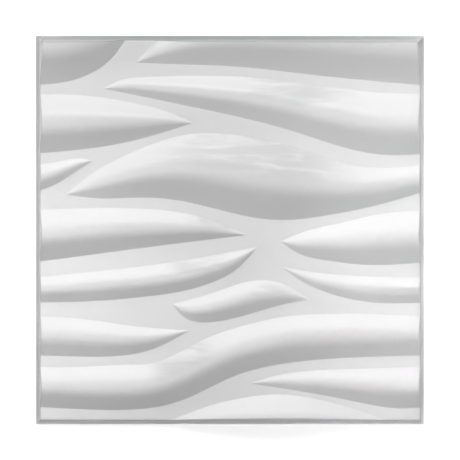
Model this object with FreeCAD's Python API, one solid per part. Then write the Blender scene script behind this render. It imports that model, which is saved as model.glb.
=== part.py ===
import FreeCAD, Part
import math
import os

# A raised-wave wall panel tile, thermoformed from one plastic sheet. Long leaf-shaped
# swells rise from a flat ground and taper to points, and those that reach the left and
# right edges meet the same swell on the next tile. The back is open and follows the face.
# The tile lies on its rim, face up. The origin is under the middle of the rim, +X runs
# along the swells, +Y up the face and +Z out of it. Lengths are in millimetres.

# Driving dimensions
PANEL_WIDTH = 500.0
PANEL_HEIGHT = 500.0
SHEET_THICKNESS = 1.0
RIM_WIDTH = 4.0
GROUND_RISE = 8.0
SKIRT_DRAFT = 12.0

# A swell's section: the slope of its straight flanks and the share of its half width that
# the rounded ridge between them takes up
FLANK_ANGLE = 30.0
RIDGE_SHARE = 0.45

# How the swells are built: the spacing of their sections, how deep the sections and the
# points go below the ground, and how far a swell runs on past the panel's side before it
# is cut off
STATION_PITCH = 20.0
BURIED_DEPTH = 0.4
POINT_SINK = 0.1
OVERHANG = 6.0

# Lower and upper edge of each swell that crosses the panel's sides, in percent of its
# height. Both sides take them from here, so that tiles side by side meet.
TOP_SEAM = (87.3, 109.0)
UPPER_SEAM = (69.7, 85.0)
SHORT_SEAM = (59.9, 66.7)
MIDDLE_SEAM = (41.7, 55.1)
LOWER_SEAM = (31.3, 37.8)
CURL_SEAM = (17.7, 27.7)
CORNER_SEAM = (4.4, 14.7)

# Outline of each swell on the ground: its upper and its lower edge from left to right,
# each point as percent of the panel's width and height from the lower left corner.
# Points outside 0 to 100 belong to swells that the panel's edges cut.
SWELLS = {
    "top_left": (
        [(0.0, TOP_SEAM[1]), (11.3, 108.4), (20.4, 107.0), (25.3, 104.0)],
        [(0.0, TOP_SEAM[0]), (9.8, 88.7), (14.4, 90.5), (19.3, 94.0), (22.9, 99.0), (25.3, 104.0)],
    ),
    "top_right": (
        [(25.8, 93.2), (31.6, 99.2), (38.4, 104.4), (48.7, 107.5), (79.6, 109.3),
         (100.0, TOP_SEAM[1])],
        [(25.8, 93.1), (36.6, 92.7), (53.9, 91.9), (72.7, 89.8), (100.0, TOP_SEAM[0])],
    ),
    "upper_right": (
        [(17.5, 86.5), (21.1, 88.3), (28.1, 89.4), (39.4, 89.7), (57.5, 89.1), (87.1, 85.5),
         (100.0, UPPER_SEAM[1])],
        [(17.5, 86.4), (39.4, 81.9), (67.0, 75.2), (79.6, 71.2), (87.1, 69.6), (93.8, 69.2),
         (100.0, UPPER_SEAM[0])],
    ),
    "upper_left": (
        [(0.0, UPPER_SEAM[1]), (13.7, 84.5), (25.0, 82.7), (35.6, 79.8), (40.2, 77.7)],
        [(0.0, UPPER_SEAM[0]), (17.3, 71.5), (28.1, 73.8), (40.2, 77.5)],
    ),
    "short_left": (
        [(0.0, SHORT_SEAM[1]), (5.9, 67.6), (11.3, 68.4), (14.4, 67.9)],
        [(0.0, SHORT_SEAM[0]), (4.1, 61.3), (8.0, 63.5), (14.4, 67.8)],
    ),
    "broad": (
        [(7.9, 59.3), (14.4, 64.5), (21.1, 68.3), (31.7, 72.7), (39.4, 74.7), (48.7, 74.8),
         (61.3, 72.8), (72.7, 69.2), (83.2, 66.4), (100.0, SHORT_SEAM[1])],
        [(7.9, 59.2), (13.7, 58.3), (29.9, 58.3), (39.4, 57.1), (57.5, 53.0), (65.2, 52.6),
         (74.5, 53.7), (87.1, 56.2), (100.0, SHORT_SEAM[0])],
    ),
    "middle_left": (
        [(0.0, MIDDLE_SEAM[1]), (29.9, 55.3), (43.0, 53.2), (54.3, 48.8)],
        [(0.0, MIDDLE_SEAM[0]), (31.7, 45.9), (54.3, 48.7)],
    ),
    "middle_right": (
        [(63.1, 47.1), (68.8, 49.4), (79.6, 52.0), (87.1, 53.8), (100.0, MIDDLE_SEAM[1])],
        [(63.1, 47.0), (67.0, 44.3), (74.5, 42.2), (85.3, 41.0), (100.0, MIDDLE_SEAM[0])],
    ),
    "lower_left": (
        [(0.0, LOWER_SEAM[1]), (17.3, 39.5), (31.7, 41.2), (57.0, 45.6)],
        [(0.0, LOWER_SEAM[0]), (11.6, 31.5), (28.1, 32.8), (39.4, 34.6), (46.9, 37.1), (52.8, 40.8),
         (57.0, 45.5)],
    ),
    "lower_right": (
        [(63.7, 40.4), (68.8, 39.5), (81.4, 38.2), (100.0, LOWER_SEAM[1])],
        [(63.7, 40.2), (68.0, 37.1), (75.5, 33.7), (84.3, 31.6), (100.0, LOWER_SEAM[0])],
    ),
    "island": (
        [(35.2, 30.9), (45.1, 33.6), (53.9, 36.5), (59.5, 37.0), (66.0, 35.0), (70.4, 32.1)],
        [(35.2, 30.8), (37.4, 28.1), (41.2, 26.3), (46.9, 26.4), (55.7, 28.5), (66.0, 31.3),
         (70.4, 32.0)],
    ),
    "short_lower": (
        [(0.0, CURL_SEAM[1]), (11.6, 27.1), (22.9, 25.5), (39.3, 24.1)],
        [(0.0, CURL_SEAM[0]), (9.8, 17.4), (25.0, 18.0), (29.9, 19.2), (39.3, 24.0)],
    ),
    "long_curl": (
        [(0.0, CORNER_SEAM[1]), (8.0, 14.6), (22.9, 15.2), (31.7, 16.1), (41.2, 20.8), (53.9, 25.4),
         (61.3, 27.2), (72.7, 28.3), (100.0, CURL_SEAM[1])],
        [(0.0, CORNER_SEAM[0]), (8.0, 4.0), (21.1, 3.6), (29.9, 4.2), (39.4, 6.8), (50.8, 12.2),
         (57.5, 14.3), (68.8, 16.2), (79.6, 17.0), (100.0, CURL_SEAM[0])],
    ),
    "corner_right": (
        [(55.8, 10.6), (61.3, 12.3), (68.8, 13.5), (79.6, 14.1), (100.0, CORNER_SEAM[1])],
        [(55.8, 10.4), (67.0, 8.6), (79.6, 6.3), (88.1, 4.6), (94.6, 4.0), (100.0, CORNER_SEAM[0])],
    ),
    "bottom": (
        [(32.0, 0.0), (37.4, 2.0), (44.1, 4.5), (53.9, 6.8), (62.4, 7.6), (72.7, 6.3), (85.3, 2.7),
         (92.5, 0.0)],
        [(32.0, -0.1), (44.1, -4.4), (53.9, -6.7), (62.4, -7.5), (72.7, -6.2), (85.3, -2.8),
         (92.5, -0.1)],
    ),
}


def on_panel(points):
    """Turn percent points into millimetres about the panel's middle."""
    return [((across / 100.0 - 0.5) * PANEL_WIDTH, (up / 100.0 - 0.5) * PANEL_HEIGHT)
            for across, up in points]


def edge_at(points, x):
    """Height of a smooth edge through the points at x, straight on past its ends."""
    slopes = []
    last = len(points) - 1
    for i in range(last + 1):
        before = points[max(i - 1, 0)]
        after = points[min(i + 1, last)]
        slopes.append((after[1] - before[1]) / (after[0] - before[0]))
    if x <= points[0][0]:
        return points[0][1] + slopes[0] * (x - points[0][0])
    if x >= points[last][0]:
        return points[last][1] + slopes[last] * (x - points[last][0])
    i = max(k for k in range(last) if points[k][0] <= x)
    (x0, y0), (x1, y1) = points[i], points[i + 1]
    span = x1 - x0
    t = (x - x0) / span
    rise = 3 * t**2 - 2 * t**3
    return (y0 + (y1 - y0) * rise
            + span * slopes[i] * t * (1 - t)**2
            - span * slopes[i + 1] * t**2 * (1 - t))


def section(x, low, high, lean):
    """Section of a swell at x: two flanks and a rounded ridge, closed below the ground."""
    half = (high - low) / 2
    middle = (low + high) / 2
    slope = math.tan(math.radians(FLANK_ANGLE)) * math.cos(lean)
    ridge = half * RIDGE_SHARE
    shoulder = (half - ridge) * slope
    crown = shoulder + ridge * math.tan(math.atan(slope) / 2)
    foot = half + BURIED_DEPTH / slope

    def point(across, rise):
        """Point of the section by its distance from the middle and height above the ground."""
        return FreeCAD.Vector(x, middle + across, GROUND_RISE + rise)

    left_foot = point(-foot, -BURIED_DEPTH)
    right_foot = point(foot, -BURIED_DEPTH)
    left_shoulder = point(-ridge, shoulder)
    right_shoulder = point(ridge, shoulder)
    return Part.Wire([
        Part.makeLine(left_foot, left_shoulder),
        Part.Arc(left_shoulder, point(0, crown), right_shoulder).toShape(),
        Part.makeLine(right_shoulder, right_foot),
        Part.makeLine(right_foot, left_foot),
    ])


def stations(left, right, left_pointed, right_pointed):
    """Places of a swell's sections, with one more close to each point."""
    count = max(3, round((right - left) / STATION_PITCH))
    spacing = (right - left) / count
    places = [left + spacing * i for i in range(count + 1)]
    if left_pointed:
        places.insert(1, left + spacing / 3)
    if right_pointed:
        places.insert(-1, right - spacing / 3)
    return places


def swell(outline):
    """One swell, ruled from section to section and pointed where its two edges meet."""
    upper, lower = (on_panel(points) for points in outline)
    left, right = upper[0][0], upper[-1][0]
    left_pointed = left > -PANEL_WIDTH / 2
    right_pointed = right < PANEL_WIDTH / 2
    left -= 0 if left_pointed else OVERHANG
    right += 0 if right_pointed else OVERHANG
    sections = []
    for x in stations(left, right, left_pointed, right_pointed):
        low, high = edge_at(lower, x), edge_at(upper, x)
        if (left_pointed and x == left) or (right_pointed and x == right):
            sections.append(Part.Vertex(x, (low + high) / 2, GROUND_RISE - POINT_SINK))
            continue
        step = STATION_PITCH / 10
        middle_behind = (edge_at(lower, x - step) + edge_at(upper, x - step)) / 2
        middle_ahead = (edge_at(lower, x + step) + edge_at(upper, x + step)) / 2
        lean = math.atan((middle_ahead - middle_behind) / (2 * step))
        sections.append(section(x, low, high, lean))
    return Part.makeLoft(sections, True, True)


def drafted_block(inset, height):
    """Block between the edge walls, moved in by inset and narrowing upwards."""
    lean_in = height * math.tan(math.radians(SKIRT_DRAFT))
    wires = []
    for z, shrink in ((0.0, inset), (height, inset + lean_in)):
        half_w = PANEL_WIDTH / 2 - RIM_WIDTH - shrink
        half_h = PANEL_HEIGHT / 2 - RIM_WIDTH - shrink
        corners = [(-half_w, -half_h), (half_w, -half_h), (half_w, half_h), (-half_w, half_h)]
        points = [FreeCAD.Vector(x, y, z) for x, y in corners]
        wires.append(Part.makePolygon(points + points[:1]))
    return Part.makeLoft(wires, True, True)


def waved_form(inset, drop):
    """Ground with its swells between the edge walls, moved in and down for the hollow."""
    swells = [swell(outline) for outline in SWELLS.values()]
    top = max(s.BoundBox.ZMax for s in swells)
    ground = Part.makeBox(2 * PANEL_WIDTH, 2 * PANEL_HEIGHT, GROUND_RISE,
                          FreeCAD.Vector(-PANEL_WIDTH, -PANEL_HEIGHT, 0))
    relief = ground.fuse(swells)
    relief.translate(FreeCAD.Vector(0, 0, -drop))
    return relief.common(drafted_block(inset, top))


def wave_panel():
    """The whole tile: rim, edge walls and waved face of one thickness."""
    wall_inset = SHEET_THICKNESS / math.cos(math.radians(SKIRT_DRAFT))
    rim = Part.makeBox(PANEL_WIDTH, PANEL_HEIGHT, SHEET_THICKNESS,
                       FreeCAD.Vector(-PANEL_WIDTH / 2, -PANEL_HEIGHT / 2, 0))
    face = waved_form(0.0, 0.0)
    hollow = waved_form(wall_inset, SHEET_THICKNESS)
    return rim.fuse(face).cut(hollow)


def main():
    os.makedirs("parts", exist_ok=True)
    shape = wave_panel()
    box = shape.BoundBox
    print("valid", shape.isValid(), "solids", len(shape.Solids), "faces", len(shape.Faces))
    print("volume", round(shape.Volume), "box", box)
    shape.exportStep("parts/wave_panel.step")


if __name__ == "__main__":
    main()
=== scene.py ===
"""Dress a waved wall panel tile, thermoformed from white plastic sheet, lying face up.

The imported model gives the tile's box and its place. The tile itself is made again here as
one smooth sheet: its swells are drawn in plan, raised by a Geometry Nodes rule, and joined
to edge walls and a flat rim. Plan sizes are in millimetres, meshes are in metres.
"""

import logging
import math
from collections.abc import Callable
from dataclasses import dataclass, field
from enum import Enum
from typing import ClassVar

import bmesh
import bpy
import numpy as np
from bmesh.types import BMEdge, BMesh, BMVert
from bpy.types import ID, Material, Mesh, NodeSocket, NodeTree, Object
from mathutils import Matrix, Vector
from mathutils.geometry import delaunay_2d_cdt


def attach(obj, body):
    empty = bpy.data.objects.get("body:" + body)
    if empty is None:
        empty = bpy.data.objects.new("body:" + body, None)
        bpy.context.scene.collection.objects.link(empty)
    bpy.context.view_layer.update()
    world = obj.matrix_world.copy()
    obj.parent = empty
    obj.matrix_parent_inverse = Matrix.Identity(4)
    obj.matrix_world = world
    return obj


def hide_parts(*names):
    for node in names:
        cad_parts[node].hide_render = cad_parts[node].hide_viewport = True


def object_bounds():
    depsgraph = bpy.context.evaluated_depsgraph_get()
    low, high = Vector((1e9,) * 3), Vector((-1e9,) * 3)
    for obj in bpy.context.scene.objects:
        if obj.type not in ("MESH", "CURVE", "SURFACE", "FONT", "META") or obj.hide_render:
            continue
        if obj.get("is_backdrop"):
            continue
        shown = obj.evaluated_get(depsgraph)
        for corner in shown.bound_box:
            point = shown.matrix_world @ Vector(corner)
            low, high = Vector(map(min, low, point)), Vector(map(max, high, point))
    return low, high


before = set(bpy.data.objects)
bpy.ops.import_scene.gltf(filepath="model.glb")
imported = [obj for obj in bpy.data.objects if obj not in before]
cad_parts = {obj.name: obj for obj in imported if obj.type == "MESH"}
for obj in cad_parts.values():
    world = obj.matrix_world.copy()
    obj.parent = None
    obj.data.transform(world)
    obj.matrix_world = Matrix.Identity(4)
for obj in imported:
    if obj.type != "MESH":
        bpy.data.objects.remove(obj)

LOG = logging.getLogger("tile")
MM = 0.001
# Point attribute that holds the painted shade of the rim and edge walls
EDGE_SHADE_MARK = "edge"
ACROSS_MARK = "across"
Point = tuple[float, float]
Span = tuple[float, float]
Triple = tuple[float, float, float]

# Largest root radius, as a share of a swell's half width
ROOT_SHARE = 0.4

# Lower and upper edge of each swell that crosses the tile's sides, in percent of its height
TOP_SEAM = (87.3, 109.0)
UPPER_SEAM = (69.7, 85.0)
SHORT_SEAM = (59.9, 66.7)
MIDDLE_SEAM = (41.7, 55.1)
LOWER_SEAM = (31.3, 37.8)
CURL_SEAM = (17.7, 27.7)
CORNER_SEAM = (4.4, 14.7)


class Cut(Enum):
    """Which end of the tile cuts along a swell."""

    NONE = 0
    TOP = 1
    BOTTOM = -1


@dataclass(frozen=True)
class TileSizes:
    """Sizes of the tile in millimetres and degrees.

    The wall values say how far the edge walls stand in from the tile's edge at the floor and
    how they lean; edge_round and foot_round are how far their rounded top and foot reach.
    The outlines are percents of the tile as seen from above, where the raised ground looks
    a little larger than the rim, so seen_scale draws them in towards its middle.
    """

    width: float = 500.0
    height: float = 500.0
    sheet: float = 1.0
    rim: float = 4.0
    ground: float = 8.0
    draft: float = 12.0
    flank: float = 29.9
    ridge_share: float = 0.45
    root_round: float = 0.9
    edge_round: float = 1.2
    foot_round: float = 1.0
    rim_round: float = 0.25
    seen_scale: float = 0.9968

    @property
    def lean_in(self) -> float:
        """How far a wall leans in for each millimetre that it rises."""
        return math.tan(math.radians(self.draft))

    def border(self, length: float) -> float:
        """Distance from the tile's middle to where the ground turns down into a wall."""
        return length / 2 - self.rim - self.ground * self.lean_in - self.edge_round


class SmoothEdge:
    """A natural cubic curve through plan points, for one edge of a swell."""

    def __init__(self, points: list[Point]) -> None:
        """Fit the curve.

        Args:
            points: plan points from left to right, in millimetres.
        """
        self.x = np.array([p[0] for p in points])
        self.y = np.array([p[1] for p in points])
        step = np.diff(self.x)
        rise = np.diff(self.y) / step
        count = len(points)
        matrix = np.eye(count)
        right = np.zeros(count)
        for i in range(1, count - 1):
            matrix[i, i - 1:i + 2] = (step[i - 1], 2 * (step[i - 1] + step[i]), step[i])
            right[i] = 6 * (rise[i] - rise[i - 1])
        self.bend = np.linalg.solve(matrix, right)

    def at(self, x: float) -> float:
        """Height of the edge at x.

        Args:
            x: distance across the tile.

        Returns:
            Distance up the tile.
        """
        i = int(np.clip(np.searchsorted(self.x, x) - 1, 0, len(self.x) - 2))
        span = self.x[i + 1] - self.x[i]
        a = (self.x[i + 1] - x) / span
        b = 1 - a
        curve = ((a**3 - a) * self.bend[i] + (b**3 - b) * self.bend[i + 1]) * span**2 / 6
        return float(a * self.y[i] + b * self.y[i + 1] + curve)


@dataclass
class Swell:
    """One leaf-shaped swell, given by its upper and lower edge in percent of the tile.

    least_half keeps its points from closing, and lean_step is how far to each side its
    direction is read, both in millimetres.
    """

    name: str
    upper: list[Point]
    lower: list[Point]
    cut: Cut = Cut.NONE
    least_half: float = 0.02
    lean_step: float = 2.0

    def place(self, tile: TileSizes) -> None:
        """Work out its smooth edges and ends.

        Args:
            tile: the tile's sizes.
        """
        wide, high = tile.width * tile.seen_scale, tile.height * tile.seen_scale
        scaled = [[((x / 100 - 0.5) * wide, (y / 100 - 0.5) * high) for x, y in side]
                  for side in (self.upper, self.lower)]
        self.top, self.bottom = (SmoothEdge(side) for side in scaled)
        border = tile.border(tile.width)
        self.left_pointed = self.upper[0][0] > 0
        self.right_pointed = self.upper[-1][0] < 100
        self.left = scaled[0][0][0] if self.left_pointed else -border
        self.right = scaled[0][-1][0] if self.right_pointed else border

    def middle(self, x: float) -> float:
        """Height of its middle line at x."""
        return (self.top.at(x) + self.bottom.at(x)) / 2

    def half(self, x: float) -> float:
        """Half its width up the tile at x."""
        return max((self.top.at(x) - self.bottom.at(x)) / 2, self.least_half)

    def lean(self, x: float) -> float:
        """Cosine of the angle that its middle line makes with the tile's lower edge.

        Args:
            x: distance across the tile.

        Returns:
            The cosine, 1 where the swell runs level.
        """
        before = max(x - self.lean_step, self.left)
        after = min(x + self.lean_step, self.right)
        rise = (self.middle(after) - self.middle(before)) / (after - before)
        return math.cos(math.atan(rise))


# Each swell: its upper and its lower edge from left to right, in percent of the tile
SWELLS = [
    Swell("top_left",
          [(0.0, TOP_SEAM[1]), (11.3, 108.4), (20.4, 107.0), (25.3, 104.0)],
          [(0.0, TOP_SEAM[0]), (9.8, 88.7), (14.4, 90.5), (19.3, 94.0), (22.9, 99.0),
           (25.3, 104.0)],
          Cut.TOP),
    Swell("top_right",
          [(25.8, 93.2), (31.6, 99.2), (38.4, 104.4), (48.7, 107.5), (79.6, 109.3),
           (100.0, TOP_SEAM[1])],
          [(25.8, 93.1), (36.6, 92.7), (53.9, 91.9), (72.7, 89.8), (100.0, TOP_SEAM[0])],
          Cut.TOP),
    Swell("upper_right",
          [(17.5, 86.5), (21.1, 88.3), (28.1, 89.4), (39.4, 89.7), (57.5, 89.1), (87.1, 85.5),
           (100.0, UPPER_SEAM[1])],
          [(17.5, 86.4), (39.4, 81.9), (67.0, 75.2), (79.6, 71.2), (87.1, 69.6), (93.8, 69.2),
           (100.0, UPPER_SEAM[0])]),
    Swell("upper_left",
          [(0.0, UPPER_SEAM[1]), (13.7, 84.5), (25.0, 82.7), (35.6, 79.8), (40.2, 77.7)],
          [(0.0, UPPER_SEAM[0]), (17.3, 71.5), (28.1, 73.8), (40.2, 77.5)]),
    Swell("short_left",
          [(0.0, SHORT_SEAM[1]), (5.9, 67.6), (11.3, 68.4), (14.4, 67.9)],
          [(0.0, SHORT_SEAM[0]), (4.1, 61.3), (8.0, 63.5), (14.4, 67.8)]),
    Swell("broad",
          [(7.9, 59.3), (14.4, 64.5), (21.1, 68.3), (31.7, 72.7), (39.4, 74.7), (48.7, 74.8),
           (61.3, 72.8), (72.7, 69.2), (83.2, 66.4), (100.0, SHORT_SEAM[1])],
          [(7.9, 59.2), (13.7, 58.3), (29.9, 58.3), (39.4, 57.1), (57.5, 53.0), (65.2, 52.6),
           (74.5, 53.7), (87.1, 56.2), (100.0, SHORT_SEAM[0])]),
    Swell("middle_left",
          [(0.0, MIDDLE_SEAM[1]), (29.9, 55.3), (43.0, 53.2), (54.3, 48.8)],
          [(0.0, MIDDLE_SEAM[0]), (31.7, 45.9), (54.3, 48.7)]),
    Swell("middle_right",
          [(63.1, 47.1), (68.8, 49.4), (79.6, 52.0), (87.1, 53.8), (100.0, MIDDLE_SEAM[1])],
          [(63.1, 47.0), (67.0, 44.3), (74.5, 42.2), (85.3, 41.0), (100.0, MIDDLE_SEAM[0])]),
    Swell("lower_left",
          [(0.0, LOWER_SEAM[1]), (17.3, 39.5), (31.7, 41.2), (57.0, 45.6)],
          [(0.0, LOWER_SEAM[0]), (11.6, 31.5), (28.1, 32.8), (39.4, 34.6), (46.9, 37.1),
           (52.8, 40.8), (57.0, 45.5)]),
    Swell("lower_right",
          [(63.7, 40.4), (68.8, 39.5), (81.4, 38.2), (100.0, LOWER_SEAM[1])],
          [(63.7, 40.2), (68.0, 37.1), (75.5, 33.7), (84.3, 31.6), (100.0, LOWER_SEAM[0])]),
    Swell("island",
          [(35.2, 30.9), (45.1, 33.6), (53.9, 36.5), (59.5, 37.0), (66.0, 35.0), (70.4, 32.1)],
          [(35.2, 30.8), (37.4, 28.1), (41.2, 26.3), (46.9, 26.4), (55.7, 28.5), (66.0, 31.3),
           (70.4, 32.0)]),
    Swell("short_lower",
          [(0.0, CURL_SEAM[1]), (11.6, 27.1), (22.9, 25.5), (39.3, 24.1)],
          [(0.0, CURL_SEAM[0]), (9.8, 17.4), (25.0, 18.0), (29.9, 19.2), (39.3, 24.0)]),
    Swell("long_curl",
          [(0.0, CORNER_SEAM[1]), (8.0, 14.6), (22.9, 15.2), (31.7, 16.1), (41.2, 20.8),
           (53.9, 25.4), (61.3, 27.2), (72.7, 28.3), (100.0, CURL_SEAM[1])],
          [(0.0, CORNER_SEAM[0]), (8.0, 4.0), (21.1, 3.6), (29.9, 4.2), (39.4, 6.8), (50.8, 12.2),
           (57.5, 14.3), (68.8, 16.2), (79.6, 17.0), (100.0, CURL_SEAM[0])]),
    Swell("corner_right",
          [(55.8, 10.6), (61.3, 12.3), (68.8, 13.5), (79.6, 14.1), (100.0, CORNER_SEAM[1])],
          [(55.8, 10.4), (67.0, 8.6), (79.6, 6.3), (88.1, 4.6), (94.6, 4.0),
           (100.0, CORNER_SEAM[0])]),
    Swell("bottom",
          [(32.0, 0.0), (37.4, 2.0), (44.1, 4.5), (53.9, 6.8), (62.4, 7.6), (72.7, 6.3),
           (85.3, 2.7), (92.5, 0.0)],
          [(32.0, -0.1), (44.1, -4.4), (53.9, -6.7), (62.4, -7.5), (72.7, -6.2), (85.3, -2.8),
           (92.5, -0.1)],
          Cut.BOTTOM),
]


@dataclass
class Plan:
    """The tile's face in plan: points, faces and what the raising rule needs at each point."""

    points: list[Point] = field(default_factory=list)
    offset: list[float] = field(default_factory=list)
    half: list[float] = field(default_factory=list)
    lean: list[float] = field(default_factory=list)
    faces: list[tuple[int, ...]] = field(default_factory=list)

    def add(self, x: float, y: float, offset: float = 0.0, half: float = 0.0,
            lean: float = 1.0) -> int:
        """Add a point.

        Args:
            x: distance across the tile from its middle.
            y: distance up the tile from its middle.
            offset: signed distance from the middle line of its swell.
            half: half the width of its swell there, zero on the ground.
            lean: cosine of the swell's direction.

        Returns:
            The point's number.
        """
        self.points.append((x, y))
        self.offset.append(offset)
        self.half.append(half)
        self.lean.append(lean)
        return len(self.points) - 1


@dataclass
class SwellPatch:
    """The grid of points over one swell and the thin flat ring round it.

    The steps are distances from a pointed end, or from the tile's side, at which it gets
    columns; ring_start is how far beyond the swell's half width the ring's points lie at least.
    """

    swell: Swell
    tile: TileSizes
    pitch: float = 4.6
    ridge_rows: int = 11
    flank_rows: int = 3
    root_rows: int = 3
    ring: float = 0.5
    ring_start: float = 0.4
    tip_steps: tuple[float, ...] = (0.15, 0.5, 1.0, 1.8, 3.0, 4.5, 6.5, 9.0, 12.0)
    side_steps: tuple[float, ...] = (0.7, 2.2)

    def columns(self) -> list[float]:
        """Place the swell's columns, closer together at its points.

        Returns:
            Their distances across the tile, from left to right.
        """
        swell = self.swell
        before = self.tip_steps if swell.left_pointed else self.side_steps
        after = self.tip_steps if swell.right_pointed else self.side_steps
        start, stop = swell.left + before[-1], swell.right - after[-1]
        count = max(1, round((stop - start) / self.pitch))
        inner = list(np.linspace(start, stop, count + 1))
        head = [swell.left] + [swell.left + s for s in before[:-1]]
        tail = [swell.right - s for s in reversed(after[:-1])] + [swell.right]
        return head + inner + tail

    def rows(self, half: float, lean: float) -> list[float]:
        """Offsets from the middle line at which one column has points.

        Args:
            half: half the swell's width there.
            lean: cosine of the swell's direction there.

        Returns:
            Offsets from the lower ring to the upper one.
        """
        slope = math.tan(math.radians(self.tile.flank)) * lean
        angle = math.atan(slope)
        ridge = self.tile.ridge_share * half
        radius = ridge / math.sin(angle)
        root = min(self.tile.root_round, ROOT_SHARE * half)
        foot = half + root * math.tan(angle / 2)
        turn = foot - root * math.sin(angle)
        over = [radius * math.sin(angle * (2 * i / (self.ridge_rows - 1) - 1))
                for i in range(self.ridge_rows)]
        flank = [ridge + (turn - ridge) * (i + 1) / self.flank_rows for i in range(self.flank_rows)]
        down = [foot - root * math.sin(angle * (1 - (i + 1) / self.root_rows))
                for i in range(self.root_rows)]
        side = flank + down + [foot + self.ring]
        return [-u for u in reversed(side)] + over + side

    def draw(self, plan: Plan) -> tuple[list[int], np.ndarray]:
        """Add the swell to the plan.

        Args:
            plan: the tile's plan, which gets the points and faces.

        Returns:
            The numbers of the points round the patch in order, and the patch's lower and
            upper limits at each of its columns.
        """
        tile, swell = self.tile, self.swell
        limit = tile.border(tile.height) * swell.cut.value
        grid: list[list[int]] = []
        extent: list[Triple] = []
        places = [(x, True) for x in self.columns()]
        if swell.left_pointed:
            places.insert(0, (swell.left - self.ring, False))
        if swell.right_pointed:
            places.append((swell.right + self.ring, False))
        for x, raised in places:
            inside = min(max(x, swell.left), swell.right)
            middle, half, lean = swell.middle(inside), swell.half(inside), swell.lean(inside)
            offsets = self.rows(half, lean)
            heights = [middle + u for u in offsets]
            if swell.cut is Cut.TOP and heights[-1] > limit:
                heights = self.squeeze(heights, limit)
            if swell.cut is Cut.BOTTOM and heights[0] < limit:
                turned = self.squeeze([-y for y in reversed(heights)], -limit)
                heights = [-y for y in reversed(turned)]
            reach = half + self.ring_start if raised else 0.0
            column = [plan.add(x, y, y - middle, half, lean) if abs(y - middle) < reach
                      else plan.add(x, y) for y in heights]
            grid.append(column)
            extent.append((x, heights[0], heights[-1]))
        for left, right in zip(grid, grid[1:]):
            for i in range(len(left) - 1):
                plan.faces.append((left[i], right[i], right[i + 1], left[i + 1]))
        loop = ([column[0] for column in grid] + grid[-1][1:-1]
                + [column[-1] for column in reversed(grid)] + grid[0][-2:0:-1])
        return loop, np.array(extent)

    def squeeze(self, heights: list[float], limit: float) -> list[float]:
        """Draw a column's far rows in so that its last one lies on the tile's border.

        Args:
            heights: the rows, rising to beyond the limit.
            limit: height of the border.

        Returns:
            The rows, rising to the limit.
        """
        fixed = self.root_rows + 1
        start = min(heights[fixed], limit - self.ring)
        share = (limit - start) / (heights[-1] - heights[fixed])
        near = heights[:fixed]
        if near[-1] > start:
            near = list(np.linspace(min(near[0], start - self.ring), start, fixed + 1)[:-1])
        return near + [start + (y - heights[fixed]) * share for y in heights[fixed:]]


class PlanDrawer:
    """Draws the whole face in plan: every swell's patch and the ground between them.

    The border's points lie on it and a little inside it, and keep CLEARANCE from the patches.
    A triangle is ground unless its middle lies more than OVERLAP inside a patch, and points
    closer than MERGE become one.
    """

    BORDER_POINTS = 121
    BORDER_INSETS = (0.0, 0.8)
    CLEARANCE = 0.5
    OVERLAP = 1e-4
    MERGE = 1e-5

    def __init__(self, tile: TileSizes, swells: list[Swell]) -> None:
        """Keep the sizes and swells.

        Args:
            tile: the tile's sizes.
            swells: its swells.
        """
        self.tile = tile
        self.swells = swells
        self.plan = Plan()
        self.extents: list[np.ndarray] = []

    def covered(self, x: float, y: float, margin: float) -> bool:
        """Whether a point lies on a swell's patch or within the margin of one.

        Args:
            x: the point's distance across the tile from its middle.
            y: its distance up the tile from its middle.
            margin: how far round a patch still counts as on it.

        Returns:
            True where a patch covers the point.
        """
        for extent in self.extents:
            if extent[0, 0] - margin <= x <= extent[-1, 0] + margin:
                low = np.interp(x, extent[:, 0], extent[:, 1])
                high = np.interp(x, extent[:, 0], extent[:, 2])
                if low - margin <= y <= high + margin:
                    return True
        return False

    def border_points(self) -> list[Point]:
        """Set out points along the border and just inside it.

        Returns:
            The points, without those where a swell crosses the border.
        """
        across = self.tile.border(self.tile.width)
        up = self.tile.border(self.tile.height)
        found: list[Point] = []
        for inset in self.BORDER_INSETS:
            a, b = across - inset, up - inset
            steps_a = np.linspace(-a, a, self.BORDER_POINTS)
            steps_b = np.linspace(-b, b, self.BORDER_POINTS)
            found += [(float(x), side * b) for x in steps_a for side in (-1, 1)]
            found += [(side * a, float(y)) for y in steps_b[1:-1] for side in (-1, 1)]
        return [p for p in found if not self.covered(*p, self.CLEARANCE)]

    def draw(self) -> Plan:
        """Draw the swells, then fill the ground between them.

        Returns:
            The finished plan.
        """
        loops: list[list[int]] = []
        for swell in self.swells:
            swell.place(self.tile)
            loop, extent = SwellPatch(swell, self.tile).draw(self.plan)
            loops.append(loop)
            self.extents.append(extent)
        numbers = [n for loop in loops for n in loop]
        lines: list[tuple[int, int]] = []
        start = 0
        for loop in loops:
            lines += [(start + i, start + (i + 1) % len(loop)) for i in range(len(loop))]
            start += len(loop)
        numbers += [self.plan.add(x, y) for x, y in self.border_points()]
        spots = [Vector(self.plan.points[n]) for n in numbers]
        verts, _, faces, origins, _, _ = delaunay_2d_cdt(spots, lines, [], 0, self.MERGE)
        LOG.info("ground: %d points in, %d out, %d triangles", len(spots), len(verts), len(faces))
        known = [numbers[origin[0]] if origin else self.plan.add(v[0], v[1])
                 for v, origin in zip(verts, origins)]
        for face in faces:
            x = sum(verts[i][0] for i in face) / 3
            y = sum(verts[i][1] for i in face) / 3
            if not self.covered(x, y, -self.OVERLAP):
                self.plan.faces.append(tuple(known[i] for i in face))
        return self.plan


def add_object(name: str, data: ID) -> Object:
    """Put a new object with this mesh, lamp or camera in the scene.

    Args:
        name: the object's name.
        data: what it holds.

    Returns:
        The object, at the origin.
    """
    made = bpy.data.objects.new(name, data)
    bpy.context.scene.collection.objects.link(made)
    return made


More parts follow.
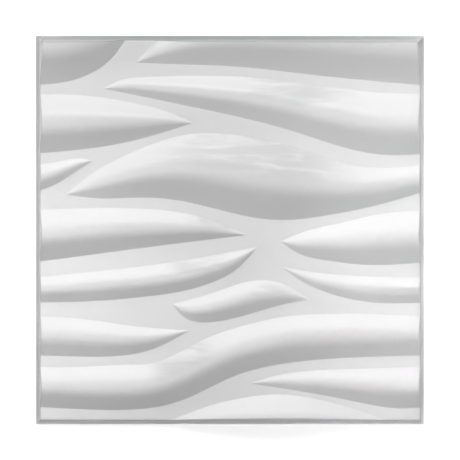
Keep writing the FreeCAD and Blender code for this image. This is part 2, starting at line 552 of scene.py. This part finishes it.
def add_sockets(tree: NodeTree, way: str, kind: str, names: tuple[str, ...]) -> None:
    """Give a node tree named inputs or outputs.

    Args:
        tree: the tree.
        way: INPUT or OUTPUT.
        kind: the sockets' type, without its NodeSocket.
        names: their names.
    """
    for name in names:
        tree.interface.new_socket(name, in_out=way, socket_type="NodeSocket" + kind)


class FieldMaths:
    """Writes arithmetic between values, and mixes of colours, into a node tree."""

    def __init__(self, tree: NodeTree) -> None:
        """Keep the tree that gets the nodes."""
        self.tree = tree

    def do(self, operation: str, *values: object) -> NodeSocket:
        """Add a Math node.

        Args:
            operation: the node's operation.
            values: numbers or sockets for its inputs.

        Returns:
            The socket that holds the result.
        """
        node = self.tree.nodes.new("ShaderNodeMath")
        node.operation = operation
        for socket, value in zip(node.inputs, values):
            if isinstance(value, NodeSocket):
                self.tree.links.new(value, socket)
            else:
                socket.default_value = value
        return node.outputs[0]

    def span(self, value: NodeSocket, given: Span, wanted: Span = (0.0, 1.0),
             kind: str = "SMOOTHSTEP") -> NodeSocket:
        """Carry a value over from one range to another.

        Args:
            value: the socket to follow.
            given: the two ends of its range.
            wanted: the results at those ends.
            kind: the node's interpolation.

        Returns:
            The socket that holds the result.
        """
        node = self.tree.nodes.new("ShaderNodeMapRange")
        node.interpolation_type = kind
        self.tree.links.new(value, node.inputs["Value"])
        for name, end in zip(("From Min", "From Max", "To Min", "To Max"), given + wanted):
            node.inputs[name].default_value = end
        return node.outputs["Result"]

    def mix(self, share: NodeSocket, first: object, second: object) -> NodeSocket:
        """Mix two colours.

        Args:
            share: how much of the second there is.
            first: a colour or a socket.
            second: a colour or a socket.

        Returns:
            The socket that holds the mix.
        """
        node = self.tree.nodes.new("ShaderNodeMix")
        node.data_type = "RGBA"
        inputs = {socket.identifier: socket for socket in node.inputs}
        self.tree.links.new(share, inputs["Factor_Float"])
        for name, colour in (("A_Color", first), ("B_Color", second)):
            if isinstance(colour, NodeSocket):
                self.tree.links.new(colour, inputs[name])
            else:
                inputs[name].default_value = (*colour, 1.0)
        return next(socket for socket in node.outputs if socket.identifier == "Result_Color")


class SwellRaiser:
    """The Geometry Nodes trees that raise the drawn plan into the tile's face.

    Near the top and bottom walls the height is worked out in LEAN_PASSES, because a point
    that leans in with its wall comes under another part of the section.
    """

    WEIGHTS = ("offset", "half", "lean", "side", "end")
    SIZES = ("Flank Angle", "Ridge Share", "Root Radius")
    LEAN_PASSES = 3
    LEAST_HALF = 1e-6

    def leg(self, do: Callable, long: NodeSocket, short: NodeSocket) -> NodeSocket:
        """The other short side of a right triangle, nothing where there is none."""
        squares = do("SUBTRACT", do("MULTIPLY", long, long), do("MULTIPLY", short, short))
        return do("SQRT", do("MAXIMUM", squares, 0.0))

    def pick(self, do: Callable, test: NodeSocket, no: NodeSocket, yes: NodeSocket) -> NodeSocket:
        """The second value where the test is 1 and the first where it is 0."""
        return do("ADD", no, do("MULTIPLY", do("SUBTRACT", yes, no), test))

    def profile(self) -> NodeTree:
        """Build the group that gives a swell's height above the ground.

        Returns:
            The group: a rounded ridge between straight flanks, whose feet turn into the
            ground with a round root.
        """
        group = bpy.data.node_groups.new("swell profile", "GeometryNodeTree")
        add_sockets(group, "INPUT", "Float", ("Offset", "Half Width", "Lean", *self.SIZES))
        add_sockets(group, "OUTPUT", "Float", ("Height",))
        given = group.nodes.new("NodeGroupInput").outputs
        out = group.nodes.new("NodeGroupOutput")
        do = FieldMaths(group).do
        half = given["Half Width"]
        across = do("ABSOLUTE", given["Offset"])
        slope = do("MULTIPLY", do("TANGENT", given["Flank Angle"]), given["Lean"])
        angle = do("ARCTANGENT", slope)
        half_angle = do("TANGENT", do("DIVIDE", angle, 2.0))
        ridge = do("MULTIPLY", half, given["Ridge Share"])
        radius = do("DIVIDE", ridge, do("SINE", angle))
        straight = do("MULTIPLY", do("SUBTRACT", half, ridge), slope)
        crown = do("ADD", do("MULTIPLY", ridge, half_angle), straight)
        root = do("MINIMUM", given["Root Radius"], do("MULTIPLY", half, ROOT_SHARE))
        foot = do("ADD", half, do("MULTIPLY", root, half_angle))
        turn = do("SUBTRACT", foot, do("MULTIPLY", root, do("SINE", angle)))
        over_ridge = do("ADD", do("SUBTRACT", crown, radius), self.leg(do, radius, across))
        on_flank = do("MULTIPLY", do("SUBTRACT", half, across), slope)
        reach = do("MAXIMUM", do("SUBTRACT", foot, across), 0.0)
        on_root = do("SUBTRACT", root, self.leg(do, root, reach))
        past_ridge = do("GREATER_THAN", across, ridge)
        past_turn = do("GREATER_THAN", across, turn)
        above_root = self.pick(do, past_ridge, over_ridge, on_flank)
        raised = self.pick(do, past_turn, above_root, on_root)
        height = do("MULTIPLY", raised, do("GREATER_THAN", half, self.LEAST_HALF))
        group.links.new(height, out.inputs["Height"])
        return group

    def tree(self, profile: NodeTree) -> NodeTree:
        """Build the tree that raises the swells and lets the edges follow the leaning walls.

        Args:
            profile: the group that gives a swell's height.

        Returns:
            The tree, with named inputs for its sizes.
        """
        tree = bpy.data.node_groups.new("raise swells", "GeometryNodeTree")
        add_sockets(tree, "INPUT", "Geometry", ("Geometry",))
        add_sockets(tree, "INPUT", "Float", ("Ground Rise", *self.SIZES, "Wall Draft"))
        add_sockets(tree, "INPUT", "Material", ("Sheet",))
        add_sockets(tree, "OUTPUT", "Geometry", ("Geometry",))
        given = tree.nodes.new("NodeGroupInput").outputs
        out = tree.nodes.new("NodeGroupOutput")
        link = tree.links.new
        do = FieldMaths(tree).do
        stored = {}
        for name in self.WEIGHTS:
            node = tree.nodes.new("GeometryNodeInputNamedAttribute")
            node.data_type = "FLOAT"
            node.inputs["Name"].default_value = name
            stored[name] = node.outputs["Attribute"]
        lean_in = do("TANGENT", given["Wall Draft"])
        offset = stored["offset"]
        for _ in range(self.LEAN_PASSES):
            raised = tree.nodes.new("GeometryNodeGroup")
            raised.node_tree = profile
            link(offset, raised.inputs["Offset"])
            link(stored["half"], raised.inputs["Half Width"])
            link(stored["lean"], raised.inputs["Lean"])
            for name in self.SIZES:
                link(given[name], raised.inputs[name])
            height = raised.outputs["Height"]
            inward = do("MULTIPLY", height, lean_in)
            offset = do("SUBTRACT", stored["offset"], do("MULTIPLY", inward, stored["end"]))
        move = tree.nodes.new("ShaderNodeCombineXYZ")
        link(do("MULTIPLY", do("MULTIPLY", inward, stored["side"]), -1.0), move.inputs["X"])
        link(do("MULTIPLY", do("MULTIPLY", inward, stored["end"]), -1.0), move.inputs["Y"])
        link(do("ADD", given["Ground Rise"], height), move.inputs["Z"])
        shape = given["Geometry"]
        for kind in ("SetPosition", "SetShadeSmooth", "RealizeInstances", "SetMaterial"):
            step = tree.nodes.new("GeometryNode" + kind)
            link(shape, step.inputs["Geometry"])
            shape = step.outputs["Geometry"]
            if kind == "SetPosition":
                link(move.outputs["Vector"], step.inputs["Offset"])
        link(given["Sheet"], step.inputs["Material"])
        link(shape, out.inputs["Geometry"])
        return tree

    def raise_face(self, flat: Object, tile: TileSizes, finish: Material) -> Mesh:
        """Raise the drawn plan.

        Args:
            flat: the object that holds the plan's mesh.
            tile: the tile's sizes.
            finish: the sheet's material.

        Returns:
            The raised face as a plain mesh.
        """
        tree = self.tree(self.profile())
        modifier = flat.modifiers.new("raise swells", "NODES")
        modifier.node_group = tree
        values = {
            "Ground Rise": tile.ground * MM,
            "Flank Angle": math.radians(tile.flank),
            "Ridge Share": tile.ridge_share,
            "Root Radius": tile.root_round * MM,
            "Wall Draft": math.radians(tile.draft),
            "Sheet": finish,
        }
        for item in tree.interface.items_tree:
            if item.in_out == "INPUT" and item.name in values:
                modifier[item.identifier] = values[item.name]
        graph = bpy.context.evaluated_depsgraph_get()
        mesh = bpy.data.meshes.new_from_object(flat.evaluated_get(graph), depsgraph=graph)
        flat.modifiers.remove(modifier)
        return mesh


@dataclass(frozen=True)
class PaintedEdgeShade:
    """Painted shade on the rim and the edge walls of each side, from 0 for the face's white to 1.

    top_ends is the painted shade at the top wall's two ends.
    """

    top: float = 1.0
    bottom: float = 0.0
    left: float = 0.75
    right: float = 0.0
    top_ends: float = 0.7

    def at(self, across: float, side: float, end: float) -> float:
        """Painted shade at one point of the border.

        Args:
            across: the point's place across the tile, from -1 to 1.
            side: -1 on the left wall, 1 on the right one and 0 on neither.
            end: -1 on the bottom wall, 1 on the top one and 0 on neither.

        Returns:
            The painted shade, the mean of both walls' in a corner.
        """
        top = self.top + (self.top_ends - self.top) * across**4
        found = []
        if side:
            found.append(self.left if side < 0 else self.right)
        if end:
            found.append(self.bottom if end < 0 else top)
        return sum(found) / max(len(found), 1)


class EdgeWalls:
    """The tile's edge walls and flat rim, with painted shade, drawn down from the border of its
    face.

    A border point belongs to a wall when it is within NEAR edge rounds of it, and a normal
    counts as pointing up by at least LEAST_UP.
    """

    NEAR = 1.6
    LEAST_UP = 0.3
    EDGE_STEPS = 4
    FOOT_STEPS = 3

    def __init__(self, tile: TileSizes, shade: PaintedEdgeShade) -> None:
        """Keep the sizes and the painted shades.

        Args:
            tile: the tile's sizes.
            shade: the painted shade of its sides.
        """
        self.tile = tile
        self.shade = shade

    def border_loop(self, face: BMesh) -> list[BMVert]:
        """Follow the open border round the face.

        Args:
            face: the raised face.

        Returns:
            The border's points in order.
        """
        edges = [e for e in face.edges if e.is_boundary]
        ahead: dict[BMVert, list[BMEdge]] = {}
        for edge in edges:
            for vert in edge.verts:
                ahead.setdefault(vert, []).append(edge)
        first = edges[0].verts[0]
        loop, here, last = [first], first, None
        while True:
            edge = next(e for e in ahead[here] if e is not last)
            here, last = edge.other_vert(here), edge
            if here is first:
                break
            loop.append(here)
        LOG.info("border: %d points of %d open edges", len(loop), len(edges))
        return loop

    def half_size(self, length: float, height: float) -> float:
        """Half the width between two opposite walls at a height, in metres."""
        return length * MM / 2 - self.tile.rim * MM - height * self.tile.lean_in

    def curve(self, start: Point, bend: Point, end: Point, steps: int) -> list[Point]:
        """Points of a rounded bend in the section across a wall.

        Args:
            start: its start, as distance out from the tile's middle and height.
            bend: the corner that it rounds.
            end: its end.
            steps: how many points it gets after its start.

        Returns:
            The points after the start.
        """
        found = []
        for i in range(1, steps + 1):
            t = i / steps
            found.append(tuple((1 - t)**2 * a + 2 * t * (1 - t) * b + t**2 * c
                               for a, b, c in zip(start, bend, end)))
        return found

    def section(self, out: float, height: float, slope: float, length: float) -> list[Point]:
        """Section from a border point over the edge, down the wall and across the rim.

        Args:
            out: the point's distance from the tile's middle, in metres.
            height: its height, in metres.
            slope: how the face rises outward there.
            length: the tile's full size in that direction, in millimetres.

        Returns:
            The section's points after the border point, out and height of each.
        """
        tile = self.tile
        lean = tile.lean_in
        reach = (self.half_size(length, height) - out) / (1 + slope * lean)
        bend = (out + reach, height + slope * reach)
        over = (bend[0] + reach * lean, bend[1] - reach)
        top = tile.sheet * MM
        foot = tile.foot_round * MM
        toe = (self.half_size(length, top + foot), top + foot)
        heel = (self.half_size(length, top), top)
        points = self.curve((out, height), bend, over, self.EDGE_STEPS) + [toe]
        points += self.curve(toe, heel, (heel[0] + foot, top), self.FOOT_STEPS)
        return points + [(length * MM / 2, top)]

    def build(self, face: BMesh) -> None:
        """Add the walls and the rim to the face.

        Args:
            face: the raised face, which gets them.
        """
        tile = self.tile
        # Every new wall and rim point gets the painted shade of its side
        painted_shade = face.verts.layers.float.new(EDGE_SHADE_MARK)
        loop = self.border_loop(face)
        near = tile.edge_round * MM * self.NEAR
        columns: list[list[BMVert]] = []
        for vert in loop:
            x, y, z = vert.co
            normal = vert.normal
            reach_x = self.half_size(tile.width, z) - abs(x)
            reach_y = self.half_size(tile.height, z) - abs(y)
            on_side, on_end = reach_x < near, reach_y < near
            up = max(normal.z, self.LEAST_UP)
            side = math.copysign(1.0, x)
            end = math.copysign(1.0, y)
            column = [vert]
            slope_x = -normal.x * side / up if not on_end else 0.0
            slope_y = -normal.y * end / up if not on_side else 0.0
            shade = self.shade.at(2 * x / (tile.width * MM), side * on_side, end * on_end)
            section_x = self.section(abs(x), z, slope_x, tile.width)
            section_y = self.section(abs(y), z, slope_y, tile.height)
            for (out_x, z_x), (out_y, z_y) in zip(section_x, section_y):
                if on_side and on_end:
                    spot = (side * out_x, end * out_y, (z_x + z_y) / 2)
                elif on_side:
                    spot = (side * out_x, y, z_x)
                else:
                    spot = (x, end * out_y, z_y)
                added = face.verts.new(spot)
                added[painted_shade] = shade
                column.append(added)
            columns.append(column)
        for left, right in zip(columns, columns[1:] + columns[:1]):
            for i in range(len(left) - 1):
                face.faces.new((left[i], left[i + 1], right[i + 1], right[i])).smooth = True
        bmesh.ops.recalc_face_normals(face, faces=face.faces)


@dataclass(frozen=True)
class SheetFinish:
    """White satin plastic: its colour, its sheen and how uneven the formed skin is, with painted
    shade on its rim, walls and swells.

    Each patch of painted shade is a place and reach, across and up. It darkens the part of a swell
    that painted_shade_side gives as shares of its half width, and fades out between the two shares
    of its reach in painted_shade_fade. streak_range gives the noise's value in a clear streak, a
    pale painted reflection, and in full painted shade.
    """

    colour: Triple = (0.9, 0.9, 0.9)
    # Grey of the painted shade on the rim and edge walls
    edge_shade_colour: Triple = (0.44, 0.445, 0.45)
    roughness: float = 0.42
    roughness_spread: float = 0.05
    specular: float = 0.6
    SHADE_PATCH_INPUTS: ClassVar[tuple[str, ...]] = ("Place X", "Place Y", "Reach X", "Reach Y")
    # Patches of painted shade on the upper parts of some swells
    painted_shade_patches: tuple[tuple[float, float, float, float], ...] = (
        (0.026, 0.085, 0.15, 0.08),
        (0.077, 0.162, 0.1, 0.06),
        (-0.058, -0.175, 0.055, 0.05),
        (-0.039, -0.045, 0.05, 0.03),
        (-0.019, 0.01, 0.045, 0.02),
        (0.049, -0.084, 0.03, 0.02),
    )
    painted_shade_colour: Triple = (0.5, 0.505, 0.515)
    painted_shade_depth: float = 0.4
    painted_shade_side: Span = (-0.1, 0.4)
    painted_shade_fade: Span = (1.0, 0.35)
    streak_range: Span = (0.7, 0.4)
    streak_size: float = 90.0
    streak_stretch: Triple = (0.18, 1.0, 0.3)
    streak_detail: float = 5.0
    streak_bend: float = 0.5
    wave_size: float = 14.0
    wave_stretch: Triple = (0.45, 1.0, 1.0)
    wave_detail: float = 2.0
    wave_height: float = 0.00025
    skin_size: float = 260.0
    skin_stretch: Triple = (1.0, 1.0, 1.0)
    skin_detail: float = 3.0
    skin_height: float = 0.00002

    def unevenness(self) -> NodeTree:
        """Build the shader group for the slow waves and fine skin of formed sheet.

        Returns:
            The group, which puts out a height and a mask.
        """
        group = bpy.data.node_groups.new("formed skin", "ShaderNodeTree")
        add_sockets(group, "INPUT", "Float",
                    ("Wave Size", "Wave Height", "Skin Size", "Skin Height"))
        add_sockets(group, "OUTPUT", "Float", ("Height", "Mask"))
        given = group.nodes.new("NodeGroupInput").outputs
        out = group.nodes.new("NodeGroupOutput")
        link = group.links.new
        place = group.nodes.new("ShaderNodeTexCoord").outputs["Object"]
        do = FieldMaths(group).do
        broad = self.noise(group, place, given["Wave Size"], self.wave_stretch, self.wave_detail)
        fine = self.noise(group, place, given["Skin Size"], self.skin_stretch, self.skin_detail)
        waves = do("MULTIPLY", broad, given["Wave Height"])
        skin = do("MULTIPLY", fine, given["Skin Height"])
        link(do("ADD", waves, skin), out.inputs["Height"])
        link(broad, out.inputs["Mask"])
        return group

    def noise(self, group: NodeTree, place: NodeSocket, size: NodeSocket, stretch: Triple,
              detail: float, bend: float = 0.0) -> NodeSocket:
        """Add a stretched noise to a group.

        Args:
            group: the group that gets the nodes.
            place: the coordinates.
            size: the noise's scale.
            stretch: the factors on the coordinates.
            detail: how many finer levels it has.
            bend: how far it is distorted.

        Returns:
            The noise's value.
        """
        turn = group.nodes.new("ShaderNodeMapping")
        turn.inputs["Scale"].default_value = stretch
        group.links.new(place, turn.inputs["Vector"])
        noise = group.nodes.new("ShaderNodeTexNoise")
        noise.inputs["Detail"].default_value = detail
        noise.inputs["Distortion"].default_value = bend
        group.links.new(turn.outputs["Vector"], noise.inputs["Vector"])
        group.links.new(size, noise.inputs["Scale"])
        return noise.outputs["Fac"]

    def shade_patch_group(self) -> NodeTree:
        """Build the shader group for patches of painted shade with fine pale streaks of painted
        reflection in them.

        Returns:
            The group, which puts out how much painted shade a place gets, from 0 to 1.
        """
        group = bpy.data.node_groups.new("painted shade patch", "ShaderNodeTree")
        add_sockets(group, "INPUT", "Float", (*self.SHADE_PATCH_INPUTS, "Streak Size"))
        add_sockets(group, "OUTPUT", "Float", ("Mask",))
        given = group.nodes.new("NodeGroupInput").outputs
        out = group.nodes.new("NodeGroupOutput")
        link = group.links.new
        maths = FieldMaths(group)
        do = maths.do
        place = group.nodes.new("ShaderNodeTexCoord").outputs["Object"]
        apart = group.nodes.new("ShaderNodeSeparateXYZ")
        link(place, apart.inputs["Vector"])
        across, up = (do("DIVIDE", do("SUBTRACT", apart.outputs[axis], given["Place " + axis]),
                         given["Reach " + axis]) for axis in "XY")
        away = do("SQRT", do("ADD", do("MULTIPLY", across, across), do("MULTIPLY", up, up)))
        patch = maths.span(away, self.painted_shade_fade)
        side = group.nodes.new("ShaderNodeAttribute")
        side.attribute_name = ACROSS_MARK
        upper = maths.span(side.outputs["Fac"], self.painted_shade_side)
        streaks = self.noise(group, place, given["Streak Size"], self.streak_stretch,
                             self.streak_detail, self.streak_bend)
        clear = maths.span(streaks, self.streak_range)
        link(do("MULTIPLY", do("MULTIPLY", patch, upper), clear), out.inputs["Mask"])
        return group

    def material(self) -> Material:
        """Build the sheet's material.

        Returns:
            The material.
        """
        finish = bpy.data.materials.new("satin white sheet")
        finish.use_nodes = True
        nodes, link = finish.node_tree.nodes, finish.node_tree.links.new
        shader = nodes["Principled BSDF"]
        # Painted shade: the rim and edge walls are mixed towards grey by their side's shade
        mark = nodes.new("ShaderNodeAttribute")
        mark.attribute_name = EDGE_SHADE_MARK
        maths = FieldMaths(finish.node_tree)
        mixed = maths.mix(mark.outputs["Fac"], self.colour, self.edge_shade_colour)
        # Painted shade patches on the swells, with pale streaks of painted reflection left clear in
        # them
        shade_patch_tree = self.shade_patch_group()
        painted_shade_mask: NodeSocket | None = None
        for patch_spot in self.painted_shade_patches:
            node = nodes.new("ShaderNodeGroup")
            node.node_tree = shade_patch_tree
            for name, value in zip(self.SHADE_PATCH_INPUTS, patch_spot):
                node.inputs[name].default_value = value
            node.inputs["Streak Size"].default_value = self.streak_size
            mask = node.outputs["Mask"]
            painted_shade_mask = mask if painted_shade_mask is None else maths.do("MAXIMUM", painted_shade_mask, mask)
        painted_shade_share = maths.do("MULTIPLY", painted_shade_mask, self.painted_shade_depth)
        link(maths.mix(painted_shade_share, mixed, self.painted_shade_colour), shader.inputs["Base Color"])
        shader.inputs["Specular IOR Level"].default_value = self.specular
        skin = nodes.new("ShaderNodeGroup")
        skin.node_tree = self.unevenness()
        for name, value in (("Wave Size", self.wave_size), ("Wave Height", self.wave_height),
                            ("Skin Size", self.skin_size), ("Skin Height", self.skin_height)):
            skin.inputs[name].default_value = value
        sheen = (self.roughness - self.roughness_spread, self.roughness + self.roughness_spread)
        uneven = maths.span(skin.outputs["Mask"], (0.0, 1.0), sheen, "LINEAR")
        link(uneven, shader.inputs["Roughness"])
        bump = nodes.new("ShaderNodeBump")
        bump.inputs["Distance"].default_value = 1.0
        link(skin.outputs["Height"], bump.inputs["Height"])
        link(bump.outputs["Normal"], shader.inputs["Normal"])
        return finish


@dataclass
class WavePanel:
    """The tile: one formed sheet with its swells, edge walls and rim.

    wall_fade is how far from a wall the face still follows its lean, in millimetres; the
    angles are those above which the rim's edges are rounded and shading breaks.
    """

    tile: TileSizes
    finish: SheetFinish
    swells: list[Swell]
    wall_fade: float = 25.0
    round_above: float = 60.0
    round_segments: int = 2
    sharp_above: float = 38.0

    def weight(self, x: float, length: float) -> float:
        """How far a point near a wall follows it inwards, from -1 to 1.

        Args:
            x: the point's distance from the tile's middle.
            length: the tile's full size in that direction.

        Returns:
            1 or -1 at the border, fading to 0 further in.
        """
        near = max(0.0, 1 - (self.tile.border(length) - abs(x)) / self.wall_fade)
        return math.copysign(near, x)

    def flat_plan(self) -> Object:
        """Draw the face in plan.

        Returns:
            An object whose mesh has the points' values as attributes.
        """
        plan = PlanDrawer(self.tile, self.swells).draw()
        mesh = bpy.data.meshes.new("plan")
        mesh.from_pydata([(x * MM, y * MM, 0.0) for x, y in plan.points], [], plan.faces)
        values = {
            "offset": [v * MM for v in plan.offset],
            "half": [v * MM for v in plan.half],
            "lean": plan.lean,
            "side": [self.weight(x, self.tile.width) for x, _ in plan.points],
            "end": [self.weight(y, self.tile.height) for _, y in plan.points],
            ACROSS_MARK: [u / half if half else -1.0 for u, half in zip(plan.offset, plan.half)],
        }
        for name, numbers in values.items():
            layer = mesh.attributes.new(name, "FLOAT", "POINT")
            layer.data.foreach_set("value", numbers)
        return add_object("plan", mesh)

    def build(self) -> Object:
        """Make the whole tile.

        Returns:
            The finished object.
        """
        finish = self.finish.material()
        flat = self.flat_plan()
        raised = SwellRaiser().raise_face(flat, self.tile, finish)
        bpy.data.objects.remove(flat)
        face = bmesh.new()
        face.from_mesh(raised)
        bmesh.ops.delete(face, geom=[v for v in face.verts if not v.link_faces], context="VERTS")
        bmesh.ops.recalc_face_normals(face, faces=face.faces)
        self.turn_up(face)
        EdgeWalls(self.tile, PaintedEdgeShade()).build(face)
        self.turn_up(face)
        mesh = bpy.data.meshes.new("wave_panel_sheet")
        face.to_mesh(mesh)
        face.free()
        for name in SwellRaiser.WEIGHTS:
            if name in mesh.attributes:
                mesh.attributes.remove(mesh.attributes[name])
        mesh.materials.clear()
        mesh.materials.append(finish)
        sheet = add_object("wave_panel_sheet", mesh)
        self.thicken(sheet)
        return sheet

    def turn_up(self, face: BMesh) -> None:
        """Turn the whole face over where it points down.

        Args:
            face: the face.
        """
        face.normal_update()
        if sum(f.normal.z * f.calc_area() for f in face.faces) < 0:
            bmesh.ops.reverse_faces(face, faces=face.faces)
            face.normal_update()

    def thicken(self, sheet: Object) -> None:
        """Give the sheet its thickness and its rim's small round, as plain mesh.

        Args:
            sheet: the object, whose mesh is replaced.
        """
        wall = sheet.modifiers.new("sheet", "SOLIDIFY")
        wall.thickness = self.tile.sheet * MM
        wall.offset = -1.0
        wall.use_even_offset = True
        rim = sheet.modifiers.new("rim round", "BEVEL")
        rim.width = self.tile.rim_round * MM
        rim.segments = self.round_segments
        rim.limit_method = "ANGLE"
        rim.angle_limit = math.radians(self.round_above)
        graph = bpy.context.evaluated_depsgraph_get()
        solid = bpy.data.meshes.new_from_object(sheet.evaluated_get(graph), depsgraph=graph)
        sheet.modifiers.clear()
        sheet.data = solid
        places = np.empty(3 * len(solid.vertices), dtype=np.float32)
        solid.vertices.foreach_get("co", places)
        places[2::3] = np.maximum(places[2::3], 0.0)
        solid.vertices.foreach_set("co", places)
        solid.name = "wave_panel_sheet"
        solid.polygons.foreach_set("use_smooth", [True] * len(solid.polygons))
        solid.set_sharp_from_angle(angle=math.radians(self.sharp_above))
        LOG.info("wave_panel_sheet: %d points, %d triangles", len(solid.vertices),
                 sum(len(p.vertices) - 2 for p in solid.polygons))


@dataclass(frozen=True)
class SoftLamp:
    """One soft area lamp aimed at the tile."""

    name: str
    place: Triple
    target: Triple
    width: float
    height: float
    power: float
    spread: float = 180.0

    def build(self) -> Object:
        """Make the lamp and link it into the scene.

        Returns:
            The lamp's object.
        """
        data = bpy.data.lights.new(self.name, "AREA")
        data.shape = "RECTANGLE"
        data.size, data.size_y = self.width, self.height
        data.energy = self.power
        data.spread = math.radians(self.spread)
        lamp = add_object(self.name, data)
        lamp.location = self.place
        aim = Vector(self.target) - Vector(self.place)
        lamp.rotation_euler = aim.to_track_quat("-Z", "Y").to_euler()
        return lamp


@dataclass
class Studio:
    """The white floor, the lamps, the surrounding light and the camera.

    The floor glows only where it is seen, directly, in gloss or through clear pieces, by
    floor_glow at the two distances from the tile's middle that glow_reach gives. distance is
    the camera's height, and panel_share how much of the picture's width the tile takes.
    """

    lamps: list[SoftLamp]
    sky: float = 0.135
    distance: float = 2.5
    panel_share: float = 388 / 460
    sensor: float = 36.0
    floor_half: float = 6.0
    floor_white: Triple = (0.9, 0.9, 0.9)
    floor_roughness: float = 0.9
    floor_glow: Span = (0.55, 0.9)
    glow_reach: Span = (0.35, 1.1)

    def floor(self) -> None:
        """Lay a white floor that shows white and keeps the tile's soft shadow near it."""
        mesh = bpy.data.meshes.new("floor")
        size = self.floor_half
        mesh.from_pydata([(-size, -size, 0), (size, -size, 0), (size, size, 0), (-size, size, 0)],
                         [], [(0, 1, 2, 3)])
        floor = add_object("floor", mesh)
        paint = bpy.data.materials.new("white floor")
        paint.use_nodes = True
        nodes, link = paint.node_tree.nodes, paint.node_tree.links.new
        shader = nodes["Principled BSDF"]
        shader.inputs["Base Color"].default_value = (*self.floor_white, 1.0)
        shader.inputs["Roughness"].default_value = self.floor_roughness
        glow = nodes.new("ShaderNodeEmission")
        glow.inputs["Color"].default_value = (1, 1, 1, 1)
        maths = FieldMaths(paint.node_tree)
        do = maths.do
        ray = nodes.new("ShaderNodeLightPath").outputs
        seen = do("MAXIMUM", ray["Is Camera Ray"],
                  do("MAXIMUM", ray["Is Glossy Ray"], ray["Is Transmission Ray"]))
        away = nodes.new("ShaderNodeVectorMath")
        away.operation = "LENGTH"
        link(nodes.new("ShaderNodeTexCoord").outputs["Object"], away.inputs[0])
        level = maths.span(away.outputs["Value"], self.glow_reach, self.floor_glow)
        link(do("MULTIPLY", seen, level), glow.inputs["Strength"])
        both = nodes.new("ShaderNodeAddShader")
        link(shader.outputs["BSDF"], both.inputs[0])
        link(glow.outputs["Emission"], both.inputs[1])
        link(both.outputs["Shader"], nodes["Material Output"].inputs["Surface"])
        mesh.materials.append(paint)
        floor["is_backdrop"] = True

    def surround(self) -> None:
        """Light the tile evenly from all round, at a low level."""
        world = bpy.data.worlds.new("studio")
        world.use_nodes = True
        ground = world.node_tree.nodes["Background"]
        ground.inputs["Color"].default_value = (1, 1, 1, 1)
        ground.inputs["Strength"].default_value = self.sky
        bpy.context.scene.world = world

    def camera(self) -> None:
        """Look straight down on the tile, framed as in the photograph."""
        data = bpy.data.cameras.new("camera")
        data.sensor_width = self.sensor
        low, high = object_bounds()
        span = (high[0] - low[0]) / self.panel_share
        data.lens = self.sensor * self.distance / span
        camera = add_object("camera", data)
        camera.location = (0.0, 0.0, self.distance)
        bpy.context.scene.camera = camera

    def build(self) -> None:
        """Set up the whole studio."""
        self.camera()
        self.floor()
        self.surround()
        for lamp in self.lamps:
            lamp.build()
        bpy.context.scene.view_settings.view_transform = "Standard"


STUDIO_LAMPS = [
    SoftLamp("top lamp", (0.0, 1.8, 1.5), (0.0, 0.0, 0.0), 1.6, 0.6, 29.0),
    SoftLamp("high left lamp", (-0.55, -0.2, 2.4), (0.0, 0.0, 0.0), 0.5, 0.5, 10.7),
    SoftLamp("low left lamp", (-1.6, 0.2, 0.25), (0.0, 0.0, 0.0), 0.3, 0.15, 7.0),
    SoftLamp("left beam", (-0.3, -0.1, 2.4), (-0.3, -0.1, 0.0), 0.15, 0.15, 0.078, 16.0),
    SoftLamp("right beam", (0.27, -0.17, 2.4), (0.27, -0.12, 0.0), 0.15, 0.15, 0.115, 16.0),
    SoftLamp("upper right beam", (0.32, 0.24, 2.4), (0.32, 0.19, 0.0), 0.15, 0.15, 0.06, 16.0),
]


def main() -> None:
    """Build the tile in its studio."""
    logging.basicConfig(level=logging.INFO, format="%(name)s: %(message)s")
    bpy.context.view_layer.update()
    Studio(STUDIO_LAMPS).build()
    sheet = WavePanel(TileSizes(), SheetFinish(), SWELLS).build()
    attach(sheet, "root")
    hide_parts("wave_panel")
    LOG.info("wave_panel_sheet stands for wave_panel")


if __name__ == "__main__":
    main()
